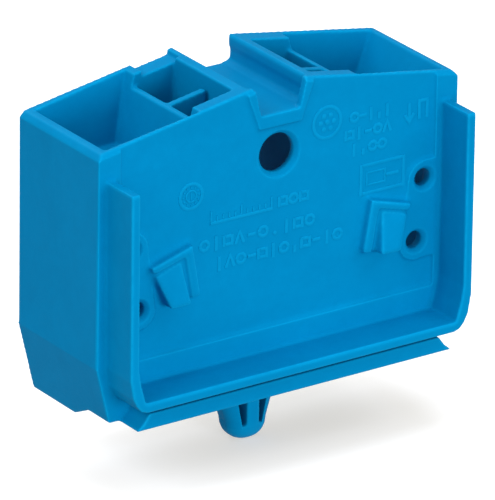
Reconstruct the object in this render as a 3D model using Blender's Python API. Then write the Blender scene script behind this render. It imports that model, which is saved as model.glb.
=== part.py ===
"""Four-conductor cage clamp terminal block with a snap-in foot.

X runs along the block, from one pair of wire funnels to the other. Y runs through it, from the
front wall with its rim to the open back. Z is up. Lengths in this file are millimetres until MM
turns them into metres. They are measured from the middle of the length, the front wall's outer
plane and the underside of the front ledge. REFERENCE then moves the world origin to where the
foot's axis crosses the panel.
"""

import math

import bmesh
import bpy
from mathutils import Vector

MM = 0.001

# Housing outline in XZ, right half
HALF_LENGTH = 15.0
HALF_WAIST = 15.1
HALF_FOOT = 14.08
WAIST_Z = 4.2
END_TOP_Z = 19.97
PEAK_Z = 22.17
PEAK_HALF = 2.14
CHANNEL_Z = 20.06
CHANNEL_HALF = 1.59
CORNER_CUT = 0.35
TOP_EASE = 0.27
TOP_SLOPE = (PEAK_Z - END_TOP_Z) / (HALF_LENGTH - PEAK_HALF)

# Housing through its thickness, in Y
PITCH = 10.0
FRONT_WALL = 1.0
RECESS = 0.2
SKIRT_Z = -1.0
SKIRT_FROM_Y = 4.69
BASE_TO_Y = 2.66

# Front rim and ledge, which enter the next block
RIM_DEPTH = 3.17
RIM_HALF = 14.35
RIM_WALL = 0.7
RIM_TOP_Z = 18.0
RIM_BOTTOM_Z = 1.66
LEDGE_HALF = 13.27
LEDGE_DEPTH = 2.33
LEDGE_HEIGHT = 1.15

# Wire funnels and operating slots
FLOOR_Z = 16.45
FLOOR_THICK = 1.05
FUNNEL_IN_LOW, FUNNEL_IN_SLOPE = 7.86, 0.269
FUNNEL_OUT_LOW, FUNNEL_OUT_SLOPE = 12.13, 0.55
FUNNEL_FRONT_Y, FUNNEL_BACK_Y, FUNNEL_WALL_SLOPE = 1.3, 8.7, 0.18
PARTITION_DROP = 0.9
TEE_GAP, TEE_GAP_DROP = 0.25, 2.4
LOWER_WALL_IN, LOWER_WALL_OUT, LOWER_WALL_DROP = 2.82, 5.9, 0.38
SLOT_IN, SLOT_OUT = 3.2, 6.35
SLOT_FRONT_Y, SLOT_BACK_Y = 1.35, 8.5
TEE_Y, TEE_THICK = 4.45, 0.55

# Clamps: two side by side at each end
LANE_Y = (2.95, 6.55)
STRIP = 0.4
STRIP_WIDTH = 3.3
WINDOW_WIDTH = 2.5
LOOP_RADIUS = 1.8
LOOP_U, LOOP_Z = 5.95, 13.5

# Current bar
BAR_THICK = 0.8
BAR_Z = 3.9
TONGUE_WIDTH = 2.0

# Foot
FOOT_Y = 4.3
FOOT_HALF_DEPTH = 1.5
FOOT_SHOULDER_Z, FOOT_SHOULDER_HALF = -4.4, 1.62
FOOT_FLARE = 0.37
FOOT_TIP_Z = -5.92
FOOT_ROUNDNESS = 2.3
STEM_HALF = 0.52
BARB_HINGE_U, BARB_HINGE_Z = 1.26, -4.45
BARB_INNER_LOW, BARB_INNER_SLOPE = 0.88, 0.21
BARB_TOP_Z = -2.0

# The world origin, in the coordinates of this file
REFERENCE = (0.0, FOOT_Y, SKIRT_Z)

GAP = 0.3
OVER = 1.0  # how far a cutter runs past the surface it opens


def clear_scene():
    for thing in list(bpy.data.objects):
        bpy.data.objects.remove(thing, do_unlink=True)


def material(name, colour, metallic, roughness):
    made = bpy.data.materials.new(name)
    made.use_nodes = True
    shader = made.node_tree.nodes["Principled BSDF"]
    shader.inputs["Base Color"].default_value = (*colour, 1.0)
    shader.inputs["Metallic"].default_value = metallic
    shader.inputs["Roughness"].default_value = roughness
    return made


def slope_z(u):
    """Height of the sloping top edge at the distance u from the middle."""
    return PEAK_Z - TOP_SLOPE * (u - PEAK_HALF)


def arc(centre, radius, start, end, steps):
    """Points on a circle from start to end, in degrees."""
    turns = [math.radians(start + (end - start) * i / steps) for i in range(steps + 1)]
    return [(centre[0] + radius * math.cos(a), centre[1] + radius * math.sin(a)) for a in turns]


def mesh_object(name, points, faces, origin=(0, 0, 0)):
    """A closed mesh from points in millimetres, with its origin at the given place."""
    mesh = bpy.data.meshes.new(name)
    base = Vector(origin)
    mesh.from_pydata([(Vector(p) - base) * MM for p in points], [], faces)
    shape = bmesh.new()
    shape.from_mesh(mesh)
    bmesh.ops.recalc_face_normals(shape, faces=shape.faces)
    shape.to_mesh(mesh)
    shape.free()
    made = bpy.data.objects.new(name, mesh)
    made.location = (base - Vector(REFERENCE)) * MM
    bpy.context.scene.collection.objects.link(made)
    return made


def loft(name, rings, origin=(0, 0, 0)):
    """A solid through rings of equally many points, with its two ends closed."""
    count = len(rings[0])
    points = [p for ring in rings for p in ring]
    faces = [list(range(count)), list(range((len(rings) - 1) * count, len(rings) * count))]
    for row in range(len(rings) - 1):
        for i in range(count):
            j = (i + 1) % count
            low, high = row * count, (row + 1) * count
            faces.append([low + i, low + j, high + j, high + i])
    return mesh_object(name, points, faces, origin)


def prism_xz(name, outline, y0, y1, origin=(0, 0, 0)):
    return loft(name, [[(x, y, z) for x, z in outline] for y in (y0, y1)], origin)


def prism_yz(name, outline, x0, x1):
    return loft(name, [[(x, y, z) for y, z in outline] for x in (x0, x1)])


def box(name, x0, x1, y0, y1, z0, z1):
    return prism_xz(name, [(x0, z0), (x1, z0), (x1, z1), (x0, z1)], y0, y1)


def turned_y(name, x, z, stations, steps=40):
    """A round solid along Y through (y, radius) stations."""
    rings = [[(px, y, pz) for px, pz in arc((x, z), r, 0, 360, steps)[:-1]] for y, r in stations]
    return loft(name, rings)


def mirrored(outline, side):
    return [(side * x, z) for x, z in outline]


def combine(target, others, operation):
    """Adds one Boolean modifier for each of the others, which turn into hidden helpers."""
    for other in others:
        boolean = target.modifiers.new(operation.lower() + "_" + other.name, "BOOLEAN")
        boolean.operation = operation
        boolean.solver = "EXACT"
        boolean.object = other
        other.hide_render = True
        other.display_type = "WIRE"
        other.hide_set(True)


def smooth(target, degrees=35):
    target.data.shade_smooth()
    target.data.set_sharp_from_angle(angle=math.radians(degrees))


# ------------------------------------------------------------------ housing


def housing_outline():
    right = [
        (HALF_FOOT + SKIRT_Z * (HALF_WAIST - HALF_FOOT) / WAIST_Z, SKIRT_Z),
        (HALF_WAIST, WAIST_Z),
        (HALF_LENGTH, END_TOP_Z - CORNER_CUT),
        (HALF_LENGTH - CORNER_CUT, slope_z(HALF_LENGTH - CORNER_CUT)),
        (PEAK_HALF, PEAK_Z),
        (CHANNEL_HALF, CHANNEL_Z),
    ]
    return right + mirrored(right[::-1], -1)


def base_relief():
    """Raises the underside over the front part, where the block before it slides its skirt in."""
    rise = (SKIRT_FROM_Y - BASE_TO_Y) / -SKIRT_Z
    low_z = SKIRT_Z - OVER
    outline = [(-OVER, 0), (BASE_TO_Y, 0), (BASE_TO_Y - low_z * rise, low_z), (-OVER, low_z)]
    return prism_yz("base_relief", outline, -HALF_WAIST - OVER, HALF_WAIST + OVER)


def top_ease(side):
    """Takes the sharp edge off the front of one sloping top."""
    rings = []
    for u in (CHANNEL_HALF, HALF_WAIST + OVER):
        z = slope_z(u)
        section = [(-OVER, z - TOP_EASE - OVER), (TOP_EASE + OVER, z + OVER), (-OVER, z + OVER)]
        rings.append([(side * u, y, height) for y, height in section])
    return loft("top_ease_" + ("right" if side > 0 else "left"), rings)


def rim():
    outer = [(RIM_HALF, RIM_TOP_Z), (RIM_HALF, 4.3), (14.1, 2.9), (13.75, 2.2), (13.4, 1.82)]
    outer.append((12.95, RIM_BOTTOM_Z))
    inner = [(13.05, RIM_BOTTOM_Z + 0.74), (13.45, 3.8), (RIM_HALF - RIM_WALL, 5.0)]
    inner.append((RIM_HALF - RIM_WALL, RIM_TOP_Z))
    outline = outer + mirrored(outer[::-1], -1) + mirrored(inner[::-1], -1) + inner
    return prism_xz("rim", outline, -RIM_DEPTH, RECESS + 0.4)


def ledge():
    end = [(LEDGE_HALF, 0), (LEDGE_HALF - 0.55, 0.45), (LEDGE_HALF - 1.05, LEDGE_HEIGHT)]
    return prism_xz("ledge", end + mirrored(end[::-1], -1), -LEDGE_DEPTH, 0.5)


BOSS_RADIUS = 1.42
UPPER_HOLE, LOWER_HOLE = (12.31, 12.41), (11.68, 7.8)
CENTRE_HOLE_Z, CENTRE_HOLE_RADIUS = 16.9, 1.42
SMALL_HOLE_RADIUS = 0.65


def recess():
    """Sinks the front panel, leaving the margins, the hole bosses and a band round the channel."""
    side = [(13.2, 4.15), (13.2, LOWER_HOLE[1] - BOSS_RADIUS + 0.1)]
    side += arc(LOWER_HOLE, BOSS_RADIUS, 270, 190, 9)
    side += arc(UPPER_HOLE, BOSS_RADIUS, 180, 90, 10) + [(13.2, UPPER_HOLE[1] + BOSS_RADIUS)]
    side += [(13.2, PEAK_Z + OVER), (3.0, PEAK_Z + OVER), (2.71, 21.64), (1.76, 19.07)]
    return prism_xz("recess", side + mirrored(side[::-1], -1), -OVER, RECESS)


def front_ribs(side):
    """The angled rib and the wedge beside it, which reach into the clamp space of the next block."""
    tag = "right" if side > 0 else "left"
    rib = [(7.5, 12.0), (6.8, 8.05), (7.55, 7.95), (8.1, 11.25), (10.75, 10.5), (10.95, 11.0)]
    plate = [(7.7, 11.7), (7.1, 8.05), (9.5, 7.85), (10.7, 10.7)]
    made = [
        prism_xz("angle_rib_" + tag, mirrored(rib, side), -0.55, RECESS + 0.4),
        prism_xz("rib_plate_" + tag, mirrored(plate, side), -0.2, RECESS + 0.3),
    ]
    wedge = [(8.42, 10.95, -0.42), (10.62, 10.3, -0.5), (9.65, 7.8, -1.2), (7.95, 7.9, -1.2)]
    rings = [
        [(side * x, RECESS + 0.4, z) for x, z, _ in wedge],
        [(side * x, y, z) for x, z, y in wedge],
    ]
    return made + [loft("wedge_" + tag, rings)]


def front_holes():
    cuts = [
        turned_y(
            "centre_hole",
            0,
            CENTRE_HOLE_Z,
            [
                (-OVER, CENTRE_HOLE_RADIUS + 0.43 + OVER),
                (RECESS, CENTRE_HOLE_RADIUS + 0.33),
                (RECESS + 0.33, CENTRE_HOLE_RADIUS),
                (FRONT_WALL + OVER, CENTRE_HOLE_RADIUS),
            ],
        )
    ]
    for side, tag in ((-1, "left"), (1, "right")):
        for (x, z), place in ((UPPER_HOLE, "upper"), (LOWER_HOLE, "lower")):
            radius = SMALL_HOLE_RADIUS
            stations = [(-0.1, radius + 0.4), (0.3, radius)]
            stations.append((FRONT_WALL + OVER, radius))
            cuts.append(turned_y(f"{place}_hole_{tag}", side * x, z, stations, 28))
    return cuts


def funnel(side):
    """The wide wire funnel of one end: four leaning walls over a floor with two wire holes."""
    tag = "right" if side > 0 else "left"
    rings = []
    for z in (FLOOR_Z, PEAK_Z + OVER):
        inner = FUNNEL_IN_LOW - FUNNEL_IN_SLOPE * (z - FLOOR_Z)
        outer = FUNNEL_OUT_LOW + FUNNEL_OUT_SLOPE * (z - FLOOR_Z)
        front = FUNNEL_FRONT_Y - FUNNEL_WALL_SLOPE * (z - FLOOR_Z)
        back = FUNNEL_BACK_Y + FUNNEL_WALL_SLOPE * (z - FLOOR_Z)
        corners = ((inner, front), (outer, front), (outer, back), (inner, back))
        rings.append([(side * u, y, z) for u, y in corners])
    cuts = [loft("funnel_" + tag, rings)]
    for lane, y in zip(("front", "rear"), LANE_Y):
        low, high = sorted((side * 8.95, side * 11.95))
        cuts.append(
            box(f"wire_hole_{lane}_{tag}", low, high, y - 1.55, y + 1.55, CHAMBER_TOP_Z - OVER, FLOOR_Z + 0.2)
        )
    return cuts


CHAMBER_TOP_Z = FLOOR_Z - FLOOR_THICK


def operating_slots(side):
    """The two screwdriver slots of one end, split by a short tee rib, under the partition's top."""
    tag = "right" if side > 0 else "left"
    cuts = []
    walls = (SLOT_FRONT_Y, TEE_Y - TEE_THICK / 2, TEE_Y + TEE_THICK / 2, SLOT_BACK_Y)
    low, high = sorted((side * SLOT_IN, side * SLOT_OUT))
    for lane, y0, y1 in (("front", walls[0], walls[1]), ("rear", walls[2], walls[3])):
        cuts.append(box(f"slot_{lane}_{tag}", low, high, y0, y1, CHAMBER_TOP_Z, PEAK_Z + OVER))
    for name, u0, u1, drop in (
        ("partition_top_", SLOT_IN + TEE_GAP / 2, 6.95, PARTITION_DROP),
        ("tee_gap_", SLOT_IN, SLOT_IN + TEE_GAP, TEE_GAP_DROP),
    ):
        outline = [(u0, slope_z(u0) - drop), (u1, slope_z(u1) - drop), (u1, 23), (u0, 23)]
        cuts.append(prism_xz(name + tag, mirrored(outline, side), SLOT_FRONT_Y, SLOT_BACK_Y))
    if side < 0:
        ends = (LOWER_WALL_IN, LOWER_WALL_OUT)
        wall = [(u, slope_z(u) - LOWER_WALL_DROP) for u in ends] + [(u, PEAK_Z + OVER) for u in ends[::-1]]
        cuts.append(prism_xz("lower_back_wall", mirrored(wall, side), SLOT_BACK_Y - 0.1, PITCH + OVER))
    return cuts


def channel_undercut(side):
    tag = "right" if side > 0 else "left"
    outline = [(1.4, 20.3), (1.62, 20.03), (2.4, 20.25), (2.46, 20.9), (2.32, 21.4), (2.32, 21.95)]
    outline += [(2.7, 22.35), (2.7, PEAK_Z + OVER), (1.4, PEAK_Z + OVER)]
    return prism_xz("channel_undercut_" + tag, mirrored(outline, side), 0.6, PITCH + OVER)


def back_hollows():
    """What is open from the back: the clamp spaces, the middle space and the next block's rim."""
    inner_y = FRONT_WALL
    back_y = PITCH + OVER
    cuts = [prism_xz("middle_space", [(-2.2, 4.2), (2.2, 4.2), (2.2, 18.9), (-2.2, 18.9)], inner_y, back_y)]
    for side, tag in ((-1, "left"), (1, "right")):
        clamp = [(3.0, 3.2), (12.2, 3.2), (13.0, 5.4), (13.0, CHAMBER_TOP_Z), (3.0, CHAMBER_TOP_Z)]
        cuts.append(prism_xz("clamp_space_" + tag, mirrored(clamp, side), inner_y, back_y))
        under_slots = [(3.0, 15.0), (7.25, 15.0), (7.25, 16.3), (3.0, 16.3)]
        cuts.append(prism_xz("slot_space_" + tag, mirrored(under_slots, side), inner_y, 8.6))
        post = [(-RIM_WALL - 0.1, 0), (0.1, 0), (0.1, RIM_TOP_Z), (-RIM_WALL - 0.1, RIM_TOP_Z)]
        post = [(RIM_HALF + x, 3.5 + z * (RIM_TOP_Z + 0.15 - 3.5) / RIM_TOP_Z) for x, z in post]
        cuts.append(prism_xz("rim_post_space_" + tag, mirrored(post, side), PITCH - RIM_DEPTH - 0.1, back_y))
        pocket = [(2.7, 0.9), (12.4, 0.9), (12.4, 2.5), (2.7, 2.5)]
        cuts.append(prism_xz("base_pocket_" + tag, mirrored(pocket, side), FRONT_WALL, back_y))
    bar_way = [(-3.5, BAR_Z - 0.75), (3.5, BAR_Z - 0.75), (3.5, BAR_Z + 0.75), (-3.5, BAR_Z + 0.75)]
    cuts.append(prism_xz("bar_way", bar_way, inner_y, back_y))
    base = [(13.4, -0.08), (13.6, 1.5), (14.2, 2.85), (14.42, 4.3), (13.5, 5.2), (13.3, 4.0), (12.9, 2.45)]
    cuts.append(prism_xz("rim_base_space", base + mirrored(base[::-1], -1), PITCH - RIM_DEPTH - 0.1, back_y))
    return cuts


def foot_size(z):
    """Half-width and half-depth of the foot at the height z: it flares upwards and rounds off below."""
    if z > FOOT_SHOULDER_Z:
        return FOOT_SHOULDER_HALF + FOOT_FLARE * (z - FOOT_SHOULDER_Z), FOOT_HALF_DEPTH
    drop = (FOOT_SHOULDER_Z - z) / (FOOT_SHOULDER_Z - FOOT_TIP_Z)
    shrink = (1 - drop**FOOT_ROUNDNESS) ** (1 / FOOT_ROUNDNESS)
    return FOOT_SHOULDER_HALF * shrink, FOOT_HALF_DEPTH * shrink


def foot_slice(z, u0, u1, steps=8):
    """A level cut through one side of the foot, between two distances from its middle."""
    half, depth = foot_size(z)
    end = min(u1, half * 0.985)
    front, back = [], []
    for i in range(steps + 1):
        u = u0 + (end - u0) * math.sin(math.pi / 2 * i / steps)
        reach = depth * (1 - (u / half) ** FOOT_ROUNDNESS) ** (1 / FOOT_ROUNDNESS)
        front.append((u, FOOT_Y - reach, z))
        back.append((u, FOOT_Y + reach, z))
    return front + back[::-1]


def foot():
    """The stem and the round tip of the snap-in foot, as one body."""
    levels = [(0.5, STEM_HALF), (BARB_HINGE_Z - GAP / 2 + 0.05, STEM_HALF)]
    tip_top = BARB_HINGE_Z - GAP / 2
    for turn in (0, 15, 30, 45, 58, 70, 80):
        levels.append((tip_top + (FOOT_TIP_Z - tip_top) * math.sin(math.radians(turn)), HALF_LENGTH))
    rings = []
    for z, reach in levels:
        right = foot_slice(z, 0, reach)
        rings.append(right + [(-x, y, zz) for x, y, zz in right[-2:0:-1]])
    return loft("foot", rings)


def build_housing(blue):
    body = prism_xz("housing", housing_outline(), 0, PITCH)
    body.data.materials.append(blue)
    cuts = [base_relief(), recess()]
    for side in (-1, 1):
        cuts += [top_ease(side), channel_undercut(side)] + funnel(side) + operating_slots(side)
    combine(body, cuts + back_hollows(), "DIFFERENCE")
    added = [rim(), ledge(), foot()]
    for side in (-1, 1):
        added += front_ribs(side)
    combine(body, added, "UNION")
    holes = front_holes()
    for hole in holes:
        smooth(hole)
    combine(body, holes, "DIFFERENCE")
    return body


def build_barb(side, blue):
    """One sprung wing of the foot, hinged where it joins the tip."""
    tag = "right" if side > 0 else "left"
    rings = []
    low = BARB_HINGE_Z + GAP / 2
    for z in (low, BARB_TOP_Z):
        inner = BARB_INNER_LOW + BARB_INNER_SLOPE * (z - low)
        rings.append([(side * x, y, zz) for x, y, zz in foot_slice(z, inner, HALF_LENGTH)])
    origin = (side * BARB_HINGE_U, FOOT_Y, BARB_HINGE_Z)
    barb = loft("foot_barb_" + tag, rings, origin)
    barb.data.materials.append(blue)
    smooth(barb)
    return barb


# ------------------------------------------------------------- current bar


def tongue_line(z):
    """Distance of the tongue's middle plane from the middle of the block."""
    return 8.3 + 0.105 * (z - 7.0)


def thick_path(centre, thickness):
    """The outline of a strip of even thickness along a line of points."""
    left, right = [], []
    for i, point in enumerate(centre):
        before, after = centre[max(i - 1, 0)], centre[min(i + 1, len(centre) - 1)]
        along = Vector((after[0] - before[0], after[1] - before[1])).normalized()
        offset = Vector((-along.y, along.x)) * thickness / 2
        left.append((point[0] + offset.x, point[1] + offset.y))
        right.append((point[0] - offset.x, point[1] - offset.y))
    return left + right[::-1]


def build_bar(copper):
    """One bar under all four clamps, its ends bent up into two tongues each."""
    bend = 1.1
    turn = tongue_line(BAR_Z) - 0.2
    half = arc((turn - bend, BAR_Z + bend), bend, 270, 354, 9)
    half += [(tongue_line(z), z) for z in (7.0, 14.4)]
    centre = mirrored(half[::-1], -1) + half
    front, rear = LANE_Y[0] - TONGUE_WIDTH / 2, LANE_Y[1] + TONGUE_WIDTH / 2
    bar = prism_xz("current_bar", thick_path(centre, BAR_THICK), front, rear)
    split_front, split_rear = LANE_Y[0] + TONGUE_WIDTH / 2, LANE_Y[1] - TONGUE_WIDTH / 2
    cuts = []
    for side, tag in ((-1, "left"), (1, "right")):
        low, high = sorted((side * 6.0, side * 10.0))
        cuts.append(box("tongue_split_" + tag, low, high, split_front, split_rear, 5.6, 15))
    combine(bar, cuts, "DIFFERENCE")
    bar.data.materials.append(copper)
    smooth(bar)
    return bar


# -------------------------------------------------------------- cage clamps


def spring_line():
    """The sprung leg that lies on the tongue, and the outer half of the loop."""
    leg_offset = BAR_THICK / 2 + GAP + STRIP / 2
    leg = [(tongue_line(z) - leg_offset, z) for z in (8.6, 11.0)]
    return leg + arc((LOOP_U, LOOP_Z), LOOP_RADIUS, -8, 92, 13)


def cage_line():
    """The inner half of the loop, the moving leg and the window leg under it."""
    loop = arc((LOOP_U, LOOP_Z), LOOP_RADIUS, 104, 186, 11)
    corner = arc((5.35, 7.75), 0.75, 187, 262, 8)
    return loop + corner + [(WINDOW_END_U, WINDOW_END_Z)]


WINDOW_END_U, WINDOW_END_Z = 9.75, 6.45


def build_spring(side, lane, steel):
    tag = f"{'right' if side > 0 else 'left'}_{lane}"
    y = LANE_Y[0] if lane == "front" else LANE_Y[1]
    outline = mirrored(thick_path(spring_line(), STRIP), side)
    spring = prism_xz("clamp_spring_" + tag, outline, y - STRIP_WIDTH / 2, y + STRIP_WIDTH / 2)
    spring.data.materials.append(steel)
    smooth(spring)
    return spring


def build_cage(side, lane, steel):
    tag = f"{'right' if side > 0 else 'left'}_{lane}"
    y = LANE_Y[0] if lane == "front" else LANE_Y[1]
    origin = (side * LOOP_U, y, LOOP_Z)
    outline = mirrored(thick_path(cage_line(), STRIP), side)
    cage = prism_xz("clamp_cage_" + tag, outline, y - STRIP_WIDTH / 2, y + STRIP_WIDTH / 2, origin)
    low, high = sorted((side * 5.1, side * 9.05))
    half = WINDOW_WIDTH / 2
    combine(cage, [box("window_" + tag, low, high, y - half, y + half, 5.5, 8.5)], "DIFFERENCE")
    cage.data.materials.append(steel)
    smooth(cage)
    return cage


def main():
    clear_scene()
    blue = material("housing_blue", (0.0, 0.27, 0.62), 0.0, 0.42)
    copper = material("tinned_copper", (0.75, 0.74, 0.72), 1.0, 0.35)
    steel = material("spring_steel", (0.62, 0.61, 0.59), 1.0, 0.28)
    build_housing(blue)
    for side in (-1, 1):
        build_barb(side, blue)
    build_bar(copper)
    for side in (-1, 1):
        for lane in ("front", "rear"):
            build_spring(side, lane, steel)
            build_cage(side, lane, steel)


main()
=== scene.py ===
"""Looks of a four-conductor cage clamp terminal block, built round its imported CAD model.

Lengths are millimetres until MM turns them into metres. X runs along the block, Y from its front
panel to its open back, and Z is up. The origin is where the foot's axis crosses the panel.
"""

import math

import bmesh
import bpy
import numpy as np
from mathutils import Matrix, Vector


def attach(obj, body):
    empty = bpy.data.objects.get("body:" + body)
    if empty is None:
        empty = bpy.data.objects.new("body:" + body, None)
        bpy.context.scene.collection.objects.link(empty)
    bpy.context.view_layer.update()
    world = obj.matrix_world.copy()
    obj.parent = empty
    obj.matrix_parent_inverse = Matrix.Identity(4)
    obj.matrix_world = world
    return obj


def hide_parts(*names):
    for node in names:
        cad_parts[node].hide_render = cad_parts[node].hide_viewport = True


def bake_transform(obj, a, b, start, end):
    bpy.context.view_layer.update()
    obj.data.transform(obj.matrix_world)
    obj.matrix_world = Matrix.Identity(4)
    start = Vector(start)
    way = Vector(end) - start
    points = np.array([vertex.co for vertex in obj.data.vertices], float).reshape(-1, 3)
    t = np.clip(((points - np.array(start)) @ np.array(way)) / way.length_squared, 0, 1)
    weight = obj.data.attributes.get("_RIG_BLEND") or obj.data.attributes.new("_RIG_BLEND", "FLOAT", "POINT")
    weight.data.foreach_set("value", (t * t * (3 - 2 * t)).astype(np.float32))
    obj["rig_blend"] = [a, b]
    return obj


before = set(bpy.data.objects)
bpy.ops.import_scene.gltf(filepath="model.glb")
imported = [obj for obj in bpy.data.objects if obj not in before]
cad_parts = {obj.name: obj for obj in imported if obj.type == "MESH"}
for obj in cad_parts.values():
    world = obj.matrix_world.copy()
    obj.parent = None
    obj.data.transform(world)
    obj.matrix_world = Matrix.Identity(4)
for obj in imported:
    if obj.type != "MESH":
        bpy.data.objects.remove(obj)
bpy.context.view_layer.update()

MM = 0.001
SIDES = (("left", -1), ("right", 1))
LANES = (("front", -1.35), ("rear", 2.25))

PANEL_Y = -4.1  # the sunk front panel
INNER_Y = -3.3  # the inner face of the front wall
FOOT_TIP_Z = -4.92  # the foot's lowest point, which stands on the floor

# ---------------------------------------------------------------- materials


class Nodes:
    """A material's node tree with short calls for the nodes used here."""

    def __init__(self, name):
        self.material = bpy.data.materials.new(name)
        self.material.use_nodes = True
        self.tree = self.material.node_tree
        self.shader = self.tree.nodes["Principled BSDF"]

    def node(self, kind, **settings):
        made = self.tree.nodes.new(kind)
        for key, value in settings.items():
            setattr(made, key, value)
        return made

    def feed(self, socket, value):
        """Links another node's output to the socket, or sets a plain value on it."""
        if hasattr(value, "links"):
            self.tree.links.new(value, socket)
        else:
            socket.default_value = value

    def coordinates(self, scale=(1, 1, 1)):
        """Object coordinates in millimetres, stretched by scale."""
        source = self.node("ShaderNodeTexCoord")
        mapping = self.node("ShaderNodeMapping")
        mapping.inputs["Scale"].default_value = [s / MM for s in scale]
        self.feed(mapping.inputs["Vector"], source.outputs["Object"])
        return mapping.outputs["Vector"]

    def noise(self, vector, scale, detail=3.0, roughness=0.55, distortion=0.0):
        made = self.node("ShaderNodeTexNoise")
        self.feed(made.inputs["Vector"], vector)
        made.inputs["Scale"].default_value = scale
        made.inputs["Detail"].default_value = detail
        made.inputs["Roughness"].default_value = roughness
        made.inputs["Distortion"].default_value = distortion
        return made.outputs["Fac"]

    def math(self, operation, a, b=0.0, clamp=False):
        made = self.node("ShaderNodeMath", operation=operation, use_clamp=clamp)
        self.feed(made.inputs[0], a)
        self.feed(made.inputs[1], b)
        return made.outputs[0]

    def spread(self, value, low, high, out_low=0.0, out_high=1.0):
        """Maps low to high onto out_low to out_high."""
        made = self.node("ShaderNodeMapRange")
        self.feed(made.inputs["Value"], value)
        made.inputs["From Min"].default_value = low
        made.inputs["From Max"].default_value = high
        made.inputs["To Min"].default_value = out_low
        made.inputs["To Max"].default_value = out_high
        return made.outputs["Result"]

    def mix(self, factor, a, b):
        made = self.node("ShaderNodeMix", data_type="RGBA")
        self.feed(made.inputs["Factor"], factor)
        self.feed(made.inputs["A"], (*a, 1.0) if isinstance(a, tuple) else a)
        self.feed(made.inputs["B"], (*b, 1.0) if isinstance(b, tuple) else b)
        return made.outputs["Result"]

    def attribute(self, name):
        return self.node("ShaderNodeAttribute", attribute_name=name).outputs["Fac"]

    def bump(self, height, distance, normal=None, strength=1.0):
        """Bumps distance mm high, on top of those in normal."""
        made = self.node("ShaderNodeBump")
        made.inputs["Strength"].default_value = strength
        made.inputs["Distance"].default_value = distance * MM
        self.feed(made.inputs["Height"], height)
        if normal is not None:
            self.feed(made.inputs["Normal"], normal)
        return made.outputs["Normal"]


def blue_plastic():
    """Moulded polyamide: fine spark-eroded grain, faint flow marks, smoother outer edges with a painted
    highlight that is partly edge wear, and painted shade in the inner creases.
    """
    m = Nodes("blue_polyamide")
    place = m.coordinates()
    flow = m.noise(m.coordinates((0.11, 0.25, 0.2)), 1.0, 4, 0.6, 0.8)
    mottle = m.noise(place, 1.3, 4, 0.6)
    grain = m.noise(place, 7.5, 4, 0.65)
    speckle = m.noise(place, 26.0, 2, 0.5)
    base = m.mix(m.spread(flow, 0.32, 0.68), (0.0, 0.180, 0.396), (0.0, 0.198, 0.430))
    base = m.mix(m.spread(mottle, 0.35, 0.7, 0.0, 0.35), base, (0.0, 0.165, 0.371))
    base = m.mix(m.spread(speckle, 0.62, 0.8, 0.0, 0.25), base, (0.002, 0.222, 0.468))
    # painted highlight, partly edge wear: the rounded outer edges are mixed towards a pale blue, broken up by
    # the mottle; the same mask makes them a little smoother
    edge = m.math("MULTIPLY", m.attribute("edge_out"), m.spread(mottle, 0.35, 0.6, 0.5, 1.0))
    base = m.mix(m.math("MULTIPLY", edge, 0.95), base, (0.004, 0.36, 0.67))
    # painted shade: the inner creases are mixed towards a darker blue
    base = m.mix(m.math("MULTIPLY", m.attribute("edge_in"), 0.3), base, (0.0, 0.13, 0.324))
    m.feed(m.shader.inputs["Base Color"], base)
    rough = m.spread(grain, 0.3, 0.7, 0.46, 0.60)
    rough = m.math("SUBTRACT", rough, m.math("MULTIPLY", edge, 0.10))
    m.feed(m.shader.inputs["Roughness"], rough)
    m.shader.inputs["Specular IOR Level"].default_value = 0.03
    m.shader.inputs["Specular Tint"].default_value = (0.05, 0.5, 1.0, 1)
    soft = m.bump(m.noise(place, 0.45, 2, 0.5), 0.03, strength=0.5)
    fine = m.bump(grain, 0.010, soft, 0.8)
    m.feed(m.shader.inputs["Normal"], m.bump(speckle, 0.0022, fine, 0.7))
    return m.material


def tin_plate():
    """Tin over copper: a cloudy matt skin with fine drawing lines, copper at the sheared edges."""
    m = Nodes("tinned_copper")
    place = m.coordinates()
    cloud = m.noise(place, 0.9, 5, 0.6, 0.6)
    lines = m.noise(m.coordinates((1.0, 22.0, 1.0)), 1.0, 3, 0.6)
    pits = m.noise(place, 14.0, 3, 0.6)
    base = m.mix(m.spread(cloud, 0.3, 0.7), (0.66, 0.65, 0.63), (0.80, 0.79, 0.77))
    base = m.mix(m.spread(lines, 0.45, 0.75, 0.0, 0.35), base, (0.50, 0.49, 0.48))
    worn = m.math("MULTIPLY", m.attribute("edge_out"), m.spread(cloud, 0.4, 0.6, 0.1, 1.0))
    base = m.mix(m.math("MULTIPLY", worn, 0.65), base, (0.72, 0.40, 0.22))
    m.feed(m.shader.inputs["Base Color"], base)
    m.shader.inputs["Metallic"].default_value = 1.0
    rough = m.math("ADD", m.spread(cloud, 0.3, 0.7, 0.28, 0.42), m.spread(lines, 0.3, 0.7, 0.0, 0.12))
    m.feed(m.shader.inputs["Roughness"], rough)
    drawn = m.bump(lines, 0.006, strength=0.7)
    m.feed(m.shader.inputs["Normal"], m.bump(pits, 0.004, drawn, 0.6))
    return m.material


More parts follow.
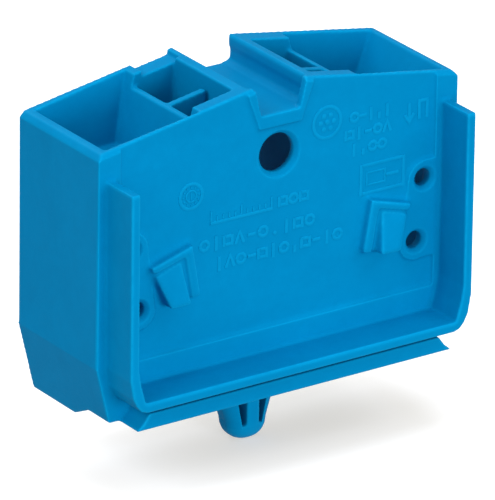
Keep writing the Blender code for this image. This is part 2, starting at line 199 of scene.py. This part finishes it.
def spring_steel():
    """Rolled chrome-nickel strip: lines along its length, a warm tint in patches, and its rounded edges mixed
    towards a lighter grey.
    """
    m = Nodes("spring_steel")
    place = m.coordinates()
    rolled = m.noise(m.coordinates((0.15, 26.0, 0.15)), 1.0, 4, 0.6)
    cloud = m.noise(place, 0.7, 4, 0.6, 0.4)
    grit = m.noise(place, 18.0, 3, 0.6)
    base = m.mix(m.spread(rolled, 0.35, 0.65), (0.52, 0.51, 0.49), (0.69, 0.68, 0.66))
    base = m.mix(m.spread(cloud, 0.45, 0.75, 0.0, 0.30), base, (0.56, 0.50, 0.42))
    base = m.mix(m.math("MULTIPLY", m.attribute("edge_out"), 0.35), base, (0.80, 0.79, 0.77))
    m.feed(m.shader.inputs["Base Color"], base)
    m.shader.inputs["Metallic"].default_value = 1.0
    m.shader.inputs["Anisotropic"].default_value = 0.35
    rough = m.math("ADD", m.spread(rolled, 0.3, 0.7, 0.22, 0.36), m.spread(grit, 0.4, 0.8, 0.0, 0.08))
    m.feed(m.shader.inputs["Roughness"], rough)
    lines = m.bump(rolled, 0.005, strength=0.7)
    m.feed(m.shader.inputs["Normal"], m.bump(grit, 0.002, lines, 0.5))
    return m.material


# ------------------------------------------------------------- mesh helpers

WELD = 0.0005  # points closer than this are one point
FLAT = 0.5  # faces that turn by fewer degrees than this are one face
WIDEST = 0.5  # the radius that a bevel weight of 1 stands for
SHARP = 22  # an edge that turns by more degrees than this gets rounded
ROUND_STEPS = 2  # the faces across a rounded edge
FLAT_WEIGHT = 80  # how strongly the large flat faces set the shading
SMOOTHING = 0.5  # how far a point moves to the middle of its neighbours in one round
SOFTER_ROUNDS = 5  # how many times the rounds are run again where the fillets are larger
MARK_REACH = 0.7  # a point that moved by this share of a voxel counts fully as an edge


def link(name, mesh):
    made = bpy.data.objects.new(name, mesh)
    bpy.context.scene.collection.objects.link(made)
    return made


def object_from(name, points, faces):
    """A mesh object from points in millimetres, facing outwards."""
    mesh = bpy.data.meshes.new(name)
    mesh.from_pydata([Vector(p) * MM for p in points], [], faces)
    shape = bmesh.new()
    shape.from_mesh(mesh)
    bmesh.ops.recalc_face_normals(shape, faces=shape.faces)
    shape.to_mesh(mesh)
    shape.free()
    return link(name, mesh)


def arc(centre, radius, start, end, steps):
    """Points on a circle from start to end, in degrees."""
    turns = [math.radians(start + (end - start) * i / steps) for i in range(steps + 1)]
    return [(centre[0] + radius * math.cos(a), centre[1] + radius * math.sin(a)) for a in turns]


def loft(name, rings):
    """A solid through rings of equally many points, with its two ends closed."""
    count = len(rings[0])
    points = [p for ring in rings for p in ring]
    faces = [list(range(count)), list(range((len(rings) - 1) * count, len(rings) * count))]
    for row in range(len(rings) - 1):
        for i in range(count):
            j = (i + 1) % count
            low, high = row * count, (row + 1) * count
            faces.append([low + i, low + j, high + j, high + i])
    return object_from(name, points, faces)


def cad_copy(name, node):
    """A copy of a CAD node with its triangles merged back into flat faces and slivers welded."""
    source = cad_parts[node].data
    mesh = bpy.data.meshes.new(name)
    mesh.from_pydata([v.co for v in source.vertices], [], [list(p.vertices) for p in source.polygons])
    shape = bmesh.new()
    shape.from_mesh(mesh)
    bmesh.ops.remove_doubles(shape, verts=shape.verts, dist=WELD * MM)
    bmesh.ops.dissolve_limit(
        shape, angle_limit=math.radians(FLAT), verts=shape.verts, edges=shape.edges
    )
    bmesh.ops.triangulate(shape, faces=[f for f in shape.faces if len(f.verts) > 4])
    shape.to_mesh(mesh)
    shape.free()
    return link(name, mesh)


def applied(made):
    """Replaces the object's mesh by what its modifiers make of it."""
    graph = bpy.context.evaluated_depsgraph_get()
    mesh = bpy.data.meshes.new_from_object(
        made.evaluated_get(graph), preserve_all_data_layers=True, depsgraph=graph
    )
    made.modifiers.clear()
    made.data = mesh
    mesh.name = made.name
    return made


def flat_shaded(made):
    """Shades the mesh smooth, with the large flat faces kept flat."""
    made.data.shade_smooth()
    weighted = made.modifiers.new("flat", "WEIGHTED_NORMAL")
    weighted.mode = "FACE_AREA"
    weighted.weight = FLAT_WEIGHT
    return applied(made)


def rounded(made, radius_of):
    """Rounds the sharp edges to radius_of(edge) mm and marks them for the materials.

    The bevel puts the new faces in material slot 1, so that mark_edges can tell them.
    """
    shape = bmesh.new()
    shape.from_mesh(made.data)
    weight = shape.edges.layers.float.new("bevel_weight_edge")
    for edge in shape.edges:
        if len(edge.link_faces) != 2:
            continue
        if math.degrees(edge.calc_face_angle(0.0)) > SHARP:
            edge[weight] = radius_of(edge) / WIDEST
    shape.to_mesh(made.data)
    shape.free()
    bevel = made.modifiers.new("round", "BEVEL")
    bevel.limit_method = "WEIGHT"
    bevel.width = WIDEST * MM
    bevel.segments = ROUND_STEPS
    bevel.use_clamp_overlap = False
    bevel.miter_outer = "MITER_ARC"
    bevel.material = 1
    made.data.materials.clear()
    made.data.materials.append(None)
    made.data.materials.append(None)
    applied(made)
    mark_edges(made.data)
    made.data.materials.clear()
    return flat_shaded(made)


def moulded(made, voxel=0.1, rounds=8, keep=0.18, softer=None):
    """Gives a solid the soft edges and fillets of a moulding, and marks them for the materials.

    The solid is meshed again in even small steps, evened out, and thinned where it is flat.
    softer takes the points in millimetres and says which of them get larger fillets.
    """
    remesh = made.modifiers.new("even", "REMESH")
    remesh.mode = "VOXEL"
    remesh.voxel_size = voxel * MM
    remesh.adaptivity = 0
    applied(made)
    mesh = made.data
    count = len(mesh.vertices)
    before = np.empty(count * 3, np.float32)
    normals = np.empty(count * 3, np.float32)
    after = np.empty(count * 3, np.float32)
    mesh.vertices.foreach_get("co", before)
    mesh.vertices.foreach_get("normal", normals)
    soften = made.modifiers.new("soften", "SMOOTH")
    soften.factor = SMOOTHING
    soften.iterations = rounds
    applied(made)
    mesh = made.data
    mesh.vertices.foreach_get("co", after)
    moved = ((after - before) * normals).reshape(-1, 3).sum(axis=1) / MM
    for name, sign in (("edge_out", -1), ("edge_in", 1)):
        mark = np.clip(sign * moved / (MARK_REACH * voxel), 0, 1).astype(np.float32)
        mesh.attributes.new(name, "FLOAT", "POINT").data.foreach_set("value", mark)
    if softer:
        chosen = softer(before.reshape(-1, 3) / MM)
        group = made.vertex_groups.new(name="softer")
        group.add(np.flatnonzero(chosen).tolist(), 1.0, "REPLACE")
        extra = made.modifiers.new("extra", "SMOOTH")
        extra.factor = SMOOTHING
        extra.iterations = SOFTER_ROUNDS * rounds
        extra.vertex_group = group.name
        applied(made)
        made.vertex_groups.clear()
    thin = made.modifiers.new("thin", "DECIMATE")
    thin.ratio = keep
    applied(made)
    return flat_shaded(made)


def mark_edges(mesh):
    """Writes edge_out and edge_in: 1 inside a rounded outer or inner edge, 0 on flat faces."""
    shape = bmesh.new()
    shape.from_mesh(mesh)
    names = ("edge_out", "edge_in")
    for name in names:
        shape.verts.layers.float.new(name)
    outer, inner = (shape.verts.layers.float[name] for name in names)
    for vert in shape.verts:
        if vert.link_faces and all(face.material_index == 1 for face in vert.link_faces):
            turn = sum(e.calc_face_angle_signed(0.0) for e in vert.link_edges if len(e.link_faces) == 2)
            vert[outer if turn > 0 else inner] = 1.0
    for face in shape.faces:
        face.material_index = 0
    shape.to_mesh(mesh)
    shape.free()


def finish_piece(made, material, body=None, replaces=()):
    """Gives a piece its material and slot, the CAD nodes it stands for and the body it rides on."""
    made.data.materials.append(material)
    if replaces:
        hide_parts(*replaces)
    if body:
        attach(made, body)
    return made


# ------------------------------------------------------------------ housing


RIBS_X, RIBS_Y, RIBS_Z = (5.9, 11.4), -3.95, (8.0, 13.9)  # the space that holds the right ribs
SMALL_HOLES = ((12.31, 13.41), (11.68, 8.8))
HOLE_CLEAR = 1.6  # from a small hole's axis to where the ribs' larger fillets may begin


def on_ribs(points):
    """The angled ribs and wedges on the front panel, clear of the holes beside them."""
    x, y, z = np.abs(points[:, 0]), points[:, 1], points[:, 2]
    area = (x > RIBS_X[0]) & (x < RIBS_X[1]) & (y < RIBS_Y) & (z > RIBS_Z[0]) & (z < RIBS_Z[1])
    for hole_x, hole_z in SMALL_HOLES:
        area &= np.hypot(x - hole_x, z - hole_z) > HOLE_CLEAR
    return area


def build_housing(blue):
    """The housing's CAD shape with the soft edges of a moulding."""
    made = cad_copy("housing_shell", "housing")
    moulded(made, softer=on_ribs)
    return finish_piece(made, blue, "housing", ["housing"])


# --------------------------------------------------------------------- foot

# the foot's shoulder, over the round tip: its height, half-width, and widening for each mm above
SHOULDER_Z, SHOULDER_HALF, FLARE = -3.4, 1.62, 0.37
FOOT_DEPTH = 1.5  # from the foot's middle to its front and back
ROUNDNESS = 2.3  # the power of the rounded outline, which is 2 for an ellipse
HINGE_U = 1.26
WING_LOW_Z, WING_INNER, WING_LEAN = -3.3, 0.88, 0.21  # a wing's flat inner face
WING_REACH = 0.985  # the share of the half-width where a wing's outside closes
WING_BEND_LOW_Z, WING_BEND_HIGH_Z = -3.7, -3.25
# the heights of a wing's slices, and how much each is drawn in to stay inside the tip
WING_LEVELS = ((-1.0, 1), (-1.6, 1), (-2.2, 1), (-2.8, 1), (-3.3, 1), (-3.6, 1), (-3.85, 1), (-4.1, 0.97))


def foot_size(z):
    """Half-width and half-depth of the foot's outside at the height z."""
    if z > SHOULDER_Z:
        return SHOULDER_HALF + FLARE * (z - SHOULDER_Z), FOOT_DEPTH
    drop = (SHOULDER_Z - z) / (SHOULDER_Z - FOOT_TIP_Z)
    shrink = (1 - drop**ROUNDNESS) ** (1 / ROUNDNESS)
    return SHOULDER_HALF * shrink, FOOT_DEPTH * shrink


def wing_slice(z, scale, steps=10):
    """A level cut through the right wing, from its flat inner face to its round outside."""
    half, depth = foot_size(z)
    inner = WING_INNER + WING_LEAN * (z - WING_LOW_Z)
    front, back = [], []
    for i in range(steps + 1):
        u = inner + (half * WING_REACH - inner) * math.sin(math.pi / 2 * i / steps)
        reach = depth * (1 - (u / half) ** ROUNDNESS) ** (1 / ROUNDNESS)
        front.append((u * scale, -reach * scale, z))
        back.append((u * scale, reach * scale, z))
    return front + back[::-1]


def build_wing(side, tag, blue):
    """A wing of the foot, carried on down into the round tip so that it can bend there."""
    rings = [[(side * x, y, z) for x, y, z in wing_slice(z, scale)] for z, scale in WING_LEVELS]
    made = loft("foot_wing_" + tag, rings)
    moulded(made, voxel=0.05, rounds=6, keep=0.5)
    finish_piece(made, blue, replaces=["foot_barb_" + tag])
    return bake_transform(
        made,
        "housing",
        "barb_" + tag,
        start=(side * HINGE_U * MM, 0, WING_BEND_LOW_Z * MM),
        end=(side * HINGE_U * MM, 0, WING_BEND_HIGH_Z * MM),
    )


# -------------------------------------------------------------------- metal

# U is the distance from the middle of the block. A pair of numbers is U and Z, or the degrees
# between which an arc runs.
TONGUE_Z, TONGUE_TOP_Z = 8.0, 15.4
TONGUE_U, TONGUE_LEAN, TONGUE_WIDTH = 8.3, 0.105, 2.0
BAR_Z, BAR_THICK, BAR_BEND, BAR_EDGE = 4.9, 0.8, 1.1, 0.09
BAR_TURN_BACK = 0.2  # how far inside the tongue's line the bar's bend lies
SPLIT_START = (7.948, 6.6)  # where the slit between the two tongues begins
STRIP, STRIP_WIDTH, STRIP_EDGE = 0.4, 3.3, 0.06
REST_GAP, REST_LEVELS = 0.9, (9.6, 10.8, 12.0)  # the leg on the tongue: distance and heights
LOOP, LOOP_RADIUS, LOOP_TURNS = (5.95, 14.5), 1.8, (-8, 186)
INNER_LEG = (4.4, 10.6)  # a point of the leg between the loop and the corner
SEAM = (4.606, 8.659)  # where a clamp's two pieces meet
CORNER, CORNER_RADIUS, CORNER_TURNS = (5.35, 8.75), 0.75, (187, 262)
LEG_END = (9.75, 7.45)
WINDOW_WIDTH, WINDOW_FROM_U, WINDOW_TO_U = 2.5, 5.3, 9.05
WINDOW_ROWS = (6.5, 8.0)  # where the strips beside the window have rows of points
ROW_GAP = 0.15  # from the end of the corner to the row where the window begins
BEND_FROM_U, BEND_TO_U = 7.0, 4.9  # the part of the loop that bends


def tongue_u(z):
    """Distance of the current bar's tongue from the middle of the block."""
    return TONGUE_U + TONGUE_LEAN * (z - TONGUE_Z)


def spring_line():
    """The strip from the leg on the tongue, round the loop and down to the corner, without a break."""
    leg = [(tongue_u(z) - REST_GAP, z) for z in REST_LEVELS]
    return leg + arc(LOOP, LOOP_RADIUS, *LOOP_TURNS, 40) + [INNER_LEG, SEAM]


def window_line():
    """The corner and the leg under it, with rows where the window begins and ends."""
    corner = arc(CORNER, CORNER_RADIUS, *CORNER_TURNS, 10)
    low = corner[-1]
    lean = (LEG_END[1] - low[1]) / (LEG_END[0] - low[0])
    stops = [low[0] + ROW_GAP, *WINDOW_ROWS, WINDOW_TO_U]
    return corner + [(u, low[1] + lean * (u - low[0])) for u in stops] + [LEG_END]


def strip_mesh(name, line, across, thickness, missing=None):
    """A strip of even thickness along a line of (x, z), with columns between the places across it.

    missing(column, x) is true where the strip has an opening.
    """
    count, wide = len(line), len(across)
    points = []
    for i, (x, z) in enumerate(line):
        before, after = line[max(i - 1, 0)], line[min(i + 1, count - 1)]
        along = Vector((after[0] - before[0], after[1] - before[1])).normalized()
        for reach in (thickness / 2, -thickness / 2):
            points += [(x - along.y * reach, y, z + along.x * reach) for y in across]

    def solid(i, j):
        if not (0 <= i < count - 1 and 0 <= j < wide - 1):
            return False
        return not (missing and missing(j, abs(line[i][0] + line[i + 1][0]) / 2))

    def at(i, j, under):
        return (2 * i + under) * wide + j

    faces = []
    for i in range(count - 1):
        for j in range(wide - 1):
            if not solid(i, j):
                continue
            corners = ((i, j), (i + 1, j), (i + 1, j + 1), (i, j + 1))
            faces += [[at(*corner, under) for corner in corners] for under in (0, 1)]
            beside = ((i, j - 1), (i + 1, j), (i, j + 1), (i - 1, j))
            for k, neighbour in enumerate(beside):
                if not solid(*neighbour):
                    a, b = corners[k], corners[(k + 1) % 4]
                    faces.append([at(*a, 0), at(*b, 0), at(*b, 1), at(*a, 1)])
    return object_from(name, points, faces)


def build_clamp(side, side_name, lane, y, steel):
    """One cage clamp: the sprung loop, which bends, and the window leg, which the wire goes through."""
    tag = f"{side_name}_{lane}"
    edges = [y - STRIP_WIDTH / 2, y - WINDOW_WIDTH / 2, y + WINDOW_WIDTH / 2, y + STRIP_WIDTH / 2]

    def strip_radius(edge):
        """The seam's edges stay sharp, so that the two pieces meet without a groove."""
        return 0.0 if all(abs(v.co.z / MM - SEAM[1]) < 0.1 for v in edge.verts) else STRIP_EDGE

    loop_line = [(side * u, z) for u, z in spring_line()]
    loop = strip_mesh("clamp_strip_" + tag, loop_line, [edges[0], edges[-1]], STRIP)
    rounded(loop, strip_radius)
    finish_piece(loop, steel, replaces=["clamp_spring_" + tag])
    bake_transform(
        loop,
        "housing",
        "cage_" + tag,
        start=(side * BEND_FROM_U * MM, y * MM, LOOP[1] * MM),
        end=(side * BEND_TO_U * MM, y * MM, LOOP[1] * MM),
    )
    leg_line = [(side * u, z) for u, z in window_line()]
    leg = strip_mesh(
        "clamp_window_" + tag,
        leg_line,
        edges,
        STRIP,
        lambda column, u: column == 1 and WINDOW_FROM_U < u < WINDOW_TO_U,
    )
    rounded(leg, strip_radius)
    finish_piece(leg, steel, "cage_" + tag, ["clamp_cage_" + tag])


def build_bar(tin):
    """The current bar: bent up at both ends, each end split into two tongues."""
    turn = tongue_u(BAR_Z) - BAR_TURN_BACK
    half = arc((turn - BAR_BEND, BAR_Z + BAR_BEND), BAR_BEND, 270, 354, 16)
    half += [SPLIT_START, (tongue_u(TONGUE_Z), TONGUE_Z), (tongue_u(TONGUE_TOP_Z), TONGUE_TOP_Z)]
    line = [(-u, z) for u, z in half[::-1]] + half
    across = [y + reach for _, y in LANES for reach in (-TONGUE_WIDTH / 2, TONGUE_WIDTH / 2)]
    made = strip_mesh("busbar", line, across, BAR_THICK, lambda column, u: column == 1 and u > SPLIT_START[0])
    rounded(made, lambda edge: BAR_EDGE)
    return finish_piece(made, tin, "housing", ["current_bar"])


# ------------------------------------------------------------ moulded marks

MARK_HEIGHT = 0.045
MARK_SHOULDER = 0.6  # the share of its height where a mark starts to draw in
MARK_TOP = 0.6  # how wide a stroke's top is, as a share of its foot
DOT_TOP = 0.75  # the same for a dot
MARK_STROKE = 0.25
MARK_ROOT = 0.04  # how far a mark reaches into the wall
MARK_HIGHLIGHT = 0.2  # how much of the painted edge highlight the marks get, all over them
RING_RADIUS, STRAND_RADIUS, STRAND_CIRCLE = 1.15, 0.19, 0.56
SCALE_X, SCALE_Z, SCALE_STEP = -5.62, 14.0, 0.504


def extruded_mark(outline, shrunk, out):
    """A raised pad: an outline on the wall and a smaller one above it."""
    wall_y, sign = out
    count = len(outline)
    points = [(x, wall_y - sign * MARK_ROOT, z) for x, z in outline]
    points += [(x, wall_y + sign * MARK_HEIGHT * MARK_SHOULDER, z) for x, z in outline]
    points += [(x, wall_y + sign * MARK_HEIGHT, z) for x, z in shrunk]
    faces = [list(range(count)), list(range(2 * count, 3 * count))]
    for row in (0, count):
        for i in range(count):
            j = (i + 1) % count
            faces.append([row + i, row + j, row + count + j, row + count + i])
    return points, faces


def ribbon(line, width):
    """The outline of a stroke of even width along a line of points, with mitred corners."""
    left, right = [], []
    for i, point in enumerate(line):
        here = Vector(point)
        before = (here - Vector(line[i - 1])).normalized() if i else None
        after = (Vector(line[i + 1]) - here).normalized() if i < len(line) - 1 else None
        along = ((before or after) + (after or before)).normalized()
        reach = width / 2 / max(0.5, along.dot(after or before))
        side = Vector((-along.y, along.x)) * reach
        left.append(tuple(here + side))
        right.append(tuple(here - side))
    return left + right[::-1]


class Marks:
    """Collects raised marks on one wall into one mesh."""

    def __init__(self, wall_y, sign):
        self.out = (wall_y, sign)
        self.points, self.faces = [], []

    def add(self, outline, shrunk):
        points, faces = extruded_mark(outline, shrunk, self.out)
        base = len(self.points)
        self.points += points
        self.faces += [[base + i for i in face] for face in faces]

    def line(self, *points, width=MARK_STROKE):
        self.add(ribbon(points, width), ribbon(points, width * MARK_TOP))

    def dot(self, x, z, radius):
        self.add(*(arc((x, z), r, 0, 360, 18)[:-1] for r in (radius, radius * DOT_TOP)))

    def ring(self, x, z, radius, width=MARK_STROKE, steps=40):
        """A ring in two halves, because an outline has no hole."""
        for start in (0, 180):
            self.line(*arc((x, z), radius, start, start + 180, steps // 2), width=width)

    def frame(self, x0, z0, x1, z1, width=MARK_STROKE):
        """A rectangle of four strokes that meet without overlapping."""
        half = width / 2
        self.line((x0, z0), (x0, z1), width=width)
        self.line((x1, z0), (x1, z1), width=width)
        self.line((x0 + half, z0 + half), (x1 - half, z0 + half), width=width)
        self.line((x0 + half, z1 - half), (x1 - half, z1 - half), width=width)

    def piece(self, name):
        return object_from(name, self.points, self.faces)


def glyph(marks, kind, x, z, size):
    """One small plain figure with its lower left corner at (x, z)."""
    wide = size * 0.62
    middle = x + wide / 2
    if kind == "ring":
        marks.ring(middle, z + size / 2, wide * 0.5, steps=24)
    elif kind == "tick":
        marks.line((middle, z), (middle, z + size))
    elif kind == "low":
        marks.line((middle, z), (middle, z + size * 0.5))
    elif kind == "bar":
        marks.line((x, z + size / 2), (x + wide, z + size / 2))
    elif kind == "box":
        marks.frame(x, z + size * 0.12, x + wide, z + size * 0.88)
    elif kind == "peak":
        marks.line((x, z + size * 0.1), (middle, z + size * 0.9), (x + wide, z + size * 0.1))
    elif kind == "dot":
        marks.dot(middle, z + size * 0.2, size * 0.14)


def glyph_row(marks, kinds, x0, x1, z, size):
    """Plain figures spread evenly between two places."""
    step = (x1 - x0) / len(kinds)
    for i, kind in enumerate(kinds):
        glyph(marks, kind, x0 + i * step, z, size)


# kinds of figure, where the row starts and ends, and its height and size
MARK_ROWS = (
    ("ring bar tick low tick", 6.0, 9.5, 18.75, 1.0),
    ("box tick bar ring peak", 5.6, 9.6, 17.5, 1.0),
    ("tick low ring ring", 6.0, 9.2, 16.3, 1.0),
    ("box ring box", 0.05, 2.7, 13.8, 1.05),
    ("ring tick box peak bar ring dot tick box ring", -6.5, 3.3, 11.85, 1.1),
    ("tick peak ring bar box tick ring low box bar tick ring", -5.25, 5.6, 10.25, 1.1),
)
# where the ejector pins pressed on the inside of the front wall: place and radius
EJECTOR_PINS = ((0, 8.4, 1.05), (0, 15.2, 1.05), (-5.2, 2.7, 0.55), (5.2, 2.7, 0.55))


def date_clock(marks, x, z):
    """A ring with twelve ticks and a hand, as moulders use to date a part."""
    marks.ring(x, z, 0.92)
    marks.ring(x, z, 0.42, 0.12, 24)
    for i in range(12):
        turn = math.radians(30 * i)
        ends = [(x + r * math.cos(turn), z + r * math.sin(turn)) for r in (0.58, 0.74)]
        marks.line(*ends, width=0.09)
    marks.line((x, z - 0.26), (x, z + 0.26), width=0.11)


def strand_sign(marks, x, z):
    """A ring round seven dots, for a stranded wire."""
    marks.ring(x, z, RING_RADIUS)
    marks.dot(x, z, STRAND_RADIUS)
    for i in range(6):
        turn = math.radians(60 * i)
        marks.dot(x + STRAND_CIRCLE * math.cos(turn), z + STRAND_CIRCLE * math.sin(turn), STRAND_RADIUS)


def stripped_wire_sign(marks):
    """A frame round the plain outline of a wire end."""
    marks.frame(6.96, 13.2, 10.6, 15.55)
    marks.frame(7.45, 13.85, 9.0, 14.9, 0.14)
    marks.line((9.09, 14.375), (10.15, 14.375), width=0.24)


def length_scale(marks):
    """A line with eleven ticks, of which every fifth is tall."""
    marks.line((-5.7, SCALE_Z - 0.05), (-0.5, SCALE_Z - 0.05))
    for i in range(11):
        x = SCALE_X + SCALE_STEP * i
        tall = 0.85 if i % 5 == 0 else 0.45
        marks.line((x, SCALE_Z + 0.09), (x, SCALE_Z + tall), width=0.14)


def arrow_sign(marks):
    """An arrow down and a bracket beside it."""
    marks.line((11.0, 19.3), (11.0, 18.12))
    marks.line((10.6, 18.5), (11.0, 17.9), (11.4, 18.5))
    marks.line((11.85, 17.95), (11.85, 19.3), (12.5, 19.3), (12.5, 17.95))


def build_marks(blue):
    """Plain relief on the front panel, and the pins' marks on the inside of that wall."""
    marks = Marks(PANEL_Y, -1)
    date_clock(marks, -7.3, 16.35)
    strand_sign(marks, 4.0, 19.38)
    stripped_wire_sign(marks)
    arrow_sign(marks)
    length_scale(marks)
    for kinds, x0, x1, z, size in MARK_ROWS:
        glyph_row(marks, kinds.split(), x0, x1, z, size)
    pins = Marks(INNER_Y, 1)
    for x, z, radius in EJECTOR_PINS:
        pins.ring(x, z, radius, 0.1)
        pins.dot(x, z, radius * 0.3)
    for name, relief in (("moulded_marks", marks), ("ejector_marks", pins)):
        made = relief.piece(name)
        mark_plain(made)
        finish_piece(made, blue, "housing")


def mark_plain(made):
    """Gives the whole relief a share of the painted edge highlight, so that it reads lighter as if its tops
    caught the light, and none of the painted crease shade.
    """
    made.data.shade_smooth()
    made.data.set_sharp_from_angle(angle=math.radians(50))
    for name, value in (("edge_out", MARK_HIGHLIGHT), ("edge_in", 0.0)):
        layer = made.data.attributes.new(name, "FLOAT", "POINT")
        layer.data.foreach_set("value", [value] * len(made.data.vertices))


# -------------------------------------------------------------------- scene

# the camera's turns in degrees, its target and distance in millimetres, and its lens
AZIMUTH, ELEVATION, ROLL = -34.597, 22.821, 0.747
TARGET = (-0.0932, -0.5554, 9.4684)
DISTANCE = 546.81
SENSOR, LENS = 36, 570.377
FLOOR_HALF = 0.25  # metres
FLOOR_COLOUR, FLOOR_GLOW = (0.621, 0.670, 0.763, 1), (0.505, 0.443, 0.328, 1)
LIGHT_DISTANCE = 0.7  # metres
LIGHT_AIM_Z = 8
# name, direction from the object, width in metres and power in watts
LIGHTS = (
    ("front_box", (0.0, -1.0, 0.09), 0.35, 3.9),
    ("left_box", (-0.81, -0.07, 0.58), 0.5, 2.9),
    ("top_box", (0.0, -0.09, 1.0), 0.35, 1.7),
    ("right_box", (0.5, -0.5, 0.7), 0.35, 0.95),
    ("back_box", (0.0, 0.72, 0.70), 0.35, 1.5),
)
FILL = 0.5  # strength of the even light from all round


def build_camera():
    """The camera of the photograph: a long lens, turned a little about its own axis."""
    azimuth, elevation, roll = (math.radians(a) for a in (AZIMUTH, ELEVATION, ROLL))
    back = Vector((
        math.sin(azimuth) * math.cos(elevation),
        -math.cos(azimuth) * math.cos(elevation),
        math.sin(elevation),
    ))
    level = Vector((math.cos(azimuth), math.sin(azimuth), 0))
    upright = back.cross(level)
    right = level * math.cos(roll) + upright * math.sin(roll)
    up = upright * math.cos(roll) - level * math.sin(roll)
    data = bpy.data.cameras.new("camera")
    data.sensor_fit = "HORIZONTAL"
    data.sensor_width = SENSOR
    data.lens = LENS
    data.clip_start = 0.01
    data.clip_end = 100
    made = bpy.data.objects.new("camera", data)
    bpy.context.scene.collection.objects.link(made)
    turn = Matrix((right, up, back)).transposed()
    made.matrix_world = Matrix.Translation((Vector(TARGET) + back * DISTANCE) * MM) @ turn.to_4x4()
    bpy.context.scene.camera = made


def area_light(name, direction, size, power):
    """A round soft light that points at the object from the direction given."""
    data = bpy.data.lights.new(name, "AREA")
    data.shape = "DISK"
    data.size = size
    data.energy = power
    made = bpy.data.objects.new(name, data)
    bpy.context.scene.collection.objects.link(made)
    towards = Vector(direction).normalized()
    made.location = Vector((0, 0, LIGHT_AIM_Z)) * MM + towards * LIGHT_DISTANCE
    made.rotation_mode = "QUATERNION"
    made.rotation_quaternion = towards.to_track_quat("Z", "Y")


def build_stage():
    """A small pale floor, which takes the shadow and colours nothing else."""
    mesh = bpy.data.meshes.new("studio_floor")
    corners = [(x * FLOOR_HALF, y * FLOOR_HALF) for x, y in ((-1, -1), (1, -1), (1, 1), (-1, 1))]
    mesh.from_pydata([(x, y, FOOT_TIP_Z * MM) for x, y in corners], [], [(0, 1, 2, 3)])
    floor = link("studio_floor", mesh)
    m = Nodes("studio_white")
    m.shader.inputs["Base Color"].default_value = FLOOR_COLOUR
    m.shader.inputs["Roughness"].default_value = 0.9
    m.shader.inputs["Specular IOR Level"].default_value = 0.0
    m.shader.inputs["Emission Color"].default_value = FLOOR_GLOW
    m.shader.inputs["Emission Strength"].default_value = 1.0
    mesh.materials.append(m.material)
    floor.visible_diffuse = False
    floor.visible_glossy = False
    floor.visible_shadow = False


def build_world():
    """Even studio light; the camera itself sees plain white above the floor's edge."""
    world = bpy.data.worlds.new("studio")
    bpy.context.scene.world = world
    world.use_nodes = True
    tree = world.node_tree
    tree.nodes.clear()
    out = tree.nodes.new("ShaderNodeOutputWorld")
    mix = tree.nodes.new("ShaderNodeMixShader")
    path = tree.nodes.new("ShaderNodeLightPath")
    seen = tree.nodes.new("ShaderNodeBackground")
    lit = tree.nodes.new("ShaderNodeBackground")
    seen.inputs["Strength"].default_value = 1.0
    lit.inputs["Strength"].default_value = FILL
    for background in (seen, lit):
        background.inputs["Color"].default_value = (1, 1, 1, 1)
    tree.links.new(path.outputs["Is Camera Ray"], mix.inputs["Fac"])
    tree.links.new(lit.outputs[0], mix.inputs[1])
    tree.links.new(seen.outputs[0], mix.inputs[2])
    tree.links.new(mix.outputs[0], out.inputs["Surface"])


blue = blue_plastic()
tin = tin_plate()
steel = spring_steel()
build_housing(blue)
for side_name, side in SIDES:
    build_wing(side, side_name, blue)
    for lane, lane_y in LANES:
        build_clamp(side, side_name, lane, lane_y, steel)
build_bar(tin)
build_marks(blue)
build_camera()
build_world()
build_stage()
for light in LIGHTS:
    area_light(*light)
bpy.context.scene.view_settings.view_transform = "Standard"
